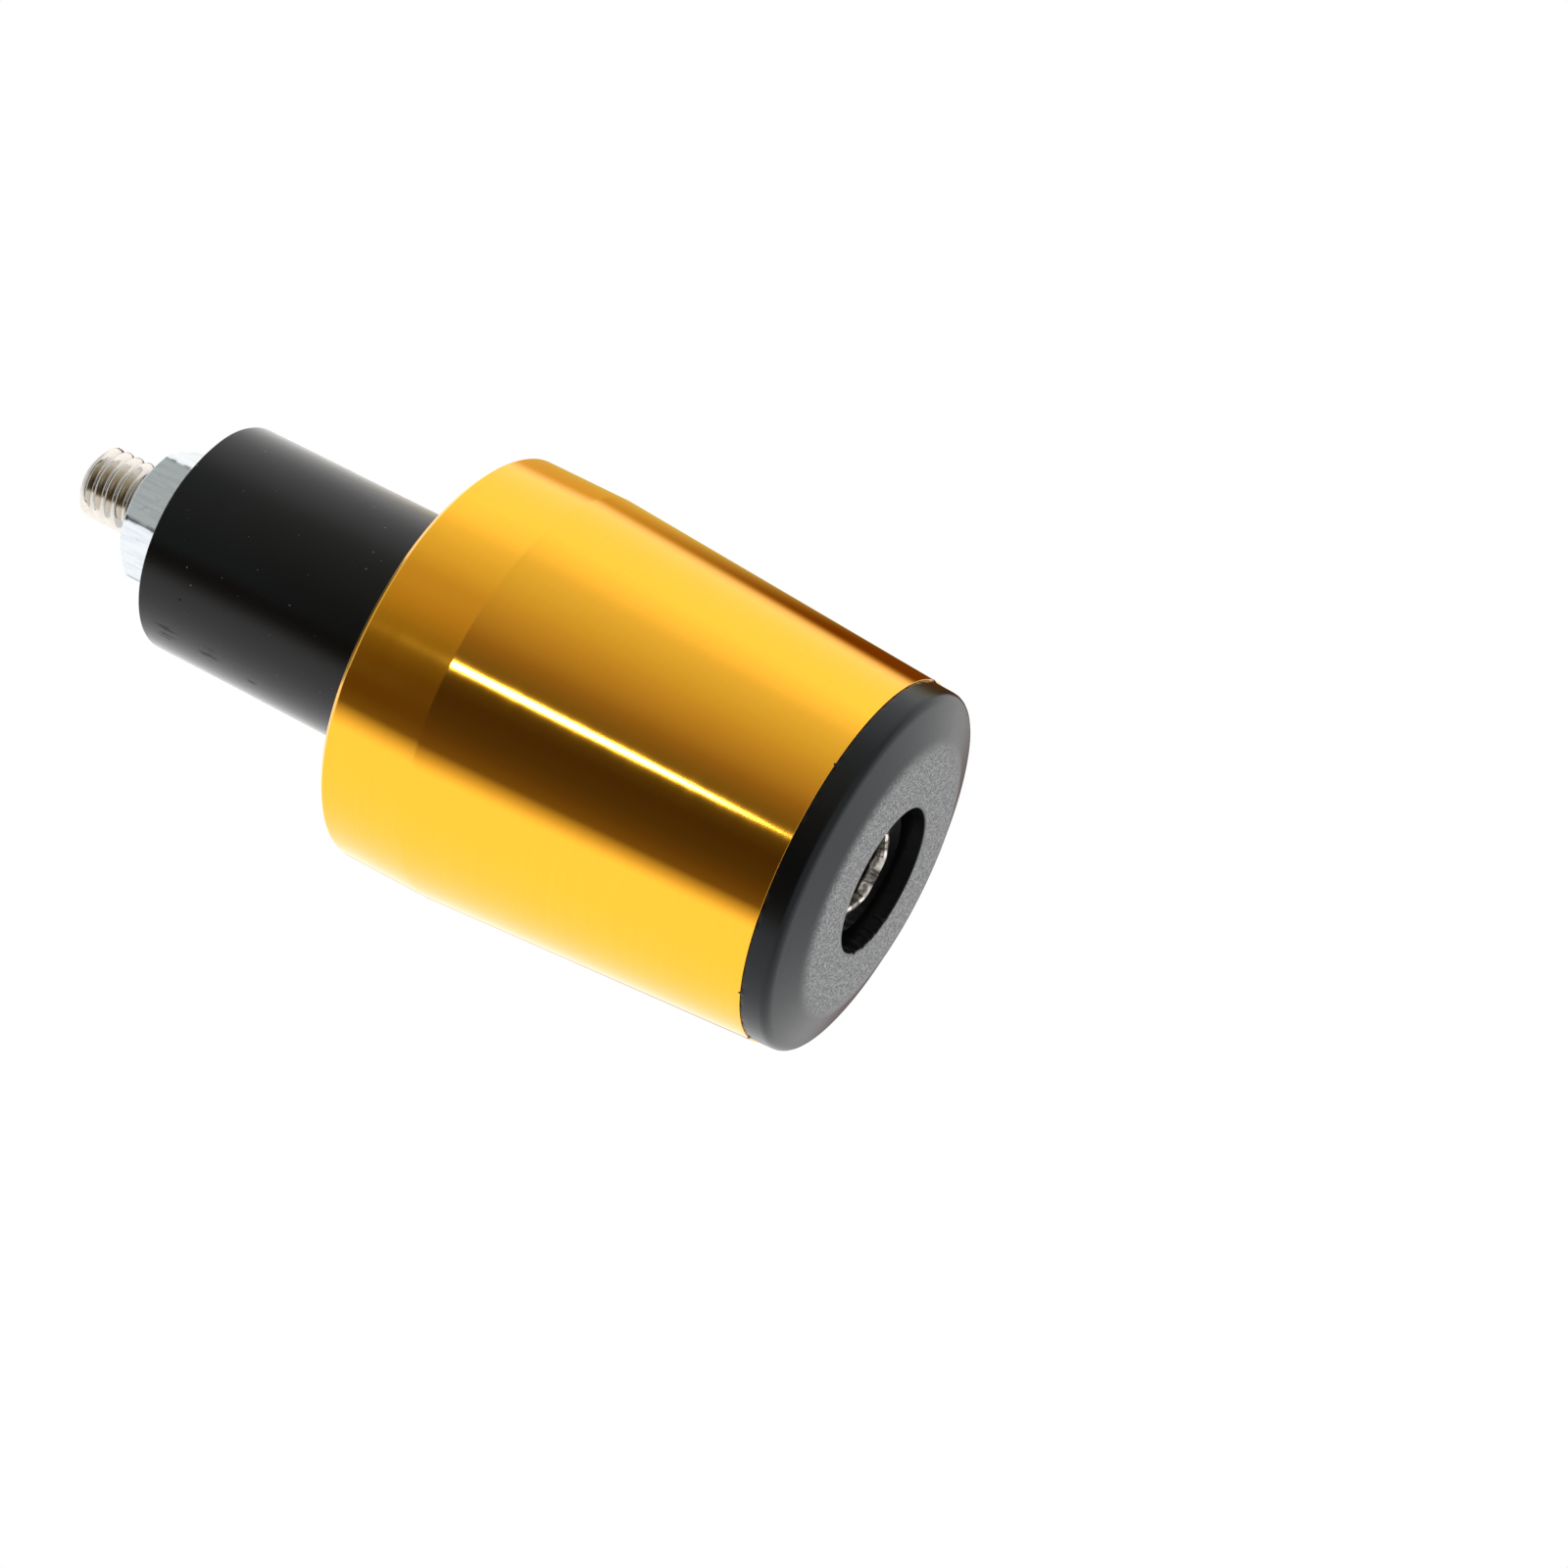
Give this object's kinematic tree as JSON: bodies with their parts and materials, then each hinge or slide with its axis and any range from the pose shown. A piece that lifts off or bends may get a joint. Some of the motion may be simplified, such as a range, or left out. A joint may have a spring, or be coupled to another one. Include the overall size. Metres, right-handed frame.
{
  "type": "bar end weight",
  "caption": "Tapered anodised barrel with a moulded end cap, held in a handlebar end by a screw-squeezed rubber plug.",
  "frame": {"origin": "centre of the flat on the end cap, which the part stands on", "axes": "+Z along the screw, from the end cap through the barrel and the rubber plug to the end of the thread; +X through a corner of the key socket"},
  "size_m": [0.033, 0.033, 0.0708],
  "materials": {
    "barrel": "gold anodised, finely turned, bright",
    "end_cap": "black moulded, smooth side, fine grain on the flat",
    "screw": "nickel plated, bright",
    "flange_nut": "blue zinc plated",
    "inner_sleeve": "matt black",
    "outer_sleeve": "satin black, knife-cut ends"
  },
  "bodies": {
    "root": {"barrel": "barrel", "end_cap": "end_cap", "screw": "screw", "flange_nut": "flange_nut", "inner_sleeve": "inner_sleeve", "outer_sleeve": "outer_sleeve"}
  },
  "joints": []
}
